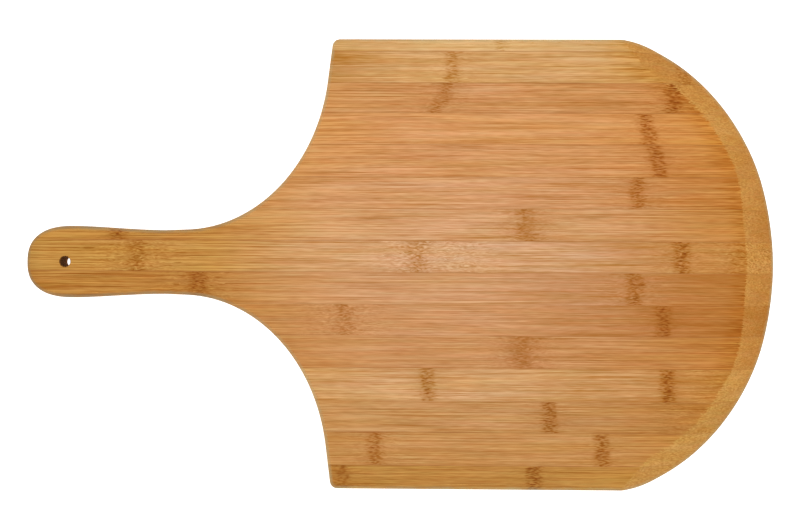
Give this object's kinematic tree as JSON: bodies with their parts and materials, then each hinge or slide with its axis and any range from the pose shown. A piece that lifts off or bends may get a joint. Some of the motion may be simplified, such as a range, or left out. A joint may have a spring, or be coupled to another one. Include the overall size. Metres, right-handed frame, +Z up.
{
  "type": "pizza peel",
  "caption": "Flat bamboo pizza peel made of edge-glued strips, with a rounded, ramped front edge, hollow shoulders and a short bored handle for hanging.",
  "frame": {"origin": "middle of the underside's bounding rectangle: halfway along the peel's length, on its centre line, at the height of the surface it lies on", "axes": "+X from the handle's end to the ramped front edge, +Y to the left of it, +Z up out of the top face, the one with the ramp"},
  "size_m": [0.508, 0.304, 0.01],
  "materials": {
    "bamboo_pale": "satin",
    "bamboo_tan": "satin",
    "bamboo_amber": "satin",
    "bamboo_golden": "satin",
    "glue": "satin"
  },
  "bodies": {
    "root": {"bamboo_strip_01": "bamboo_pale", "bamboo_strip_02": "bamboo_pale", "bamboo_strip_03": "bamboo_amber", "bamboo_strip_04": "bamboo_tan", "bamboo_strip_05": "bamboo_tan", "bamboo_strip_06": "bamboo_tan", "bamboo_strip_07": "bamboo_tan", "bamboo_strip_08": "bamboo_tan", "bamboo_strip_09": "bamboo_amber", "bamboo_strip_10": "bamboo_amber", "bamboo_strip_11": "bamboo_amber", "bamboo_strip_12": "bamboo_tan", "bamboo_strip_13": "bamboo_amber", "bamboo_strip_14": "bamboo_golden", "bamboo_strip_15": "bamboo_golden", "glue_line_01": "glue", "glue_line_02": "glue", "glue_line_03": "glue", "glue_line_04": "glue", "glue_line_05": "glue", "glue_line_06": "glue", "glue_line_07": "glue", "glue_line_08": "glue", "glue_line_09": "glue", "glue_line_10": "glue", "glue_line_11": "glue", "glue_line_12": "glue", "glue_line_13": "glue", "glue_line_14": "glue"}
  },
  "joints": []
}
